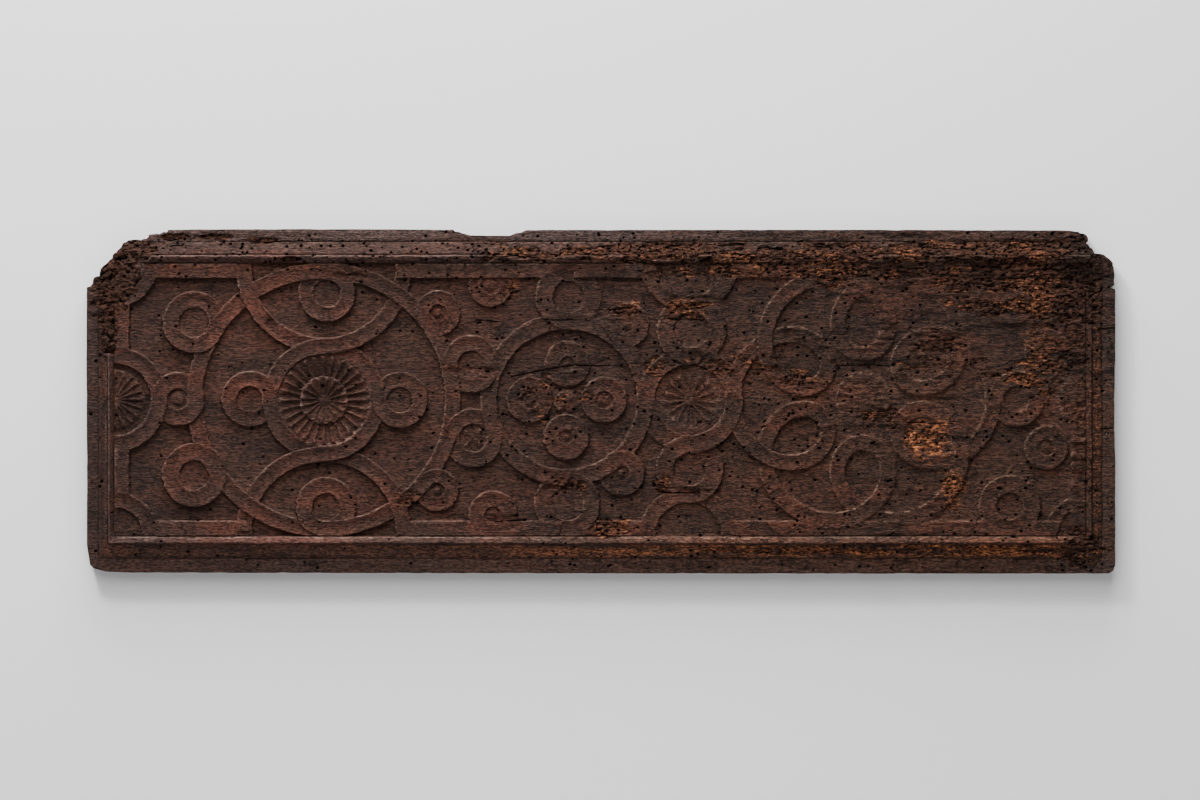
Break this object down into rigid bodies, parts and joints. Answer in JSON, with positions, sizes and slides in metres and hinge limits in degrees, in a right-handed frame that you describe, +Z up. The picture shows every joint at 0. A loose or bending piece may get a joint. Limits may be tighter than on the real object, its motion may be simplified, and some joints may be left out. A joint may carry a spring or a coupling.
{
  "type": "carved wall panel",
  "caption": "Long carved wooden wall panel with a moulded edge, interlaced rings and straps, rosettes and worn, worm-eaten, broken corners.",
  "frame": {"origin": "centre of the plank's flat back, where it lies against the wall", "axes": "+X to the right along the plank's length, +Y out of the back into the wall, +Z up"},
  "size_m": [1.0284, 0.0282, 0.3446],
  "materials": {
    "aged_wood": "dark brown old wood, dry and worn, redder on raised places and orange-brown where eaten"
  },
  "bodies": {
    "root": {"carved_panel": "aged_wood"}
  },
  "joints": []
}
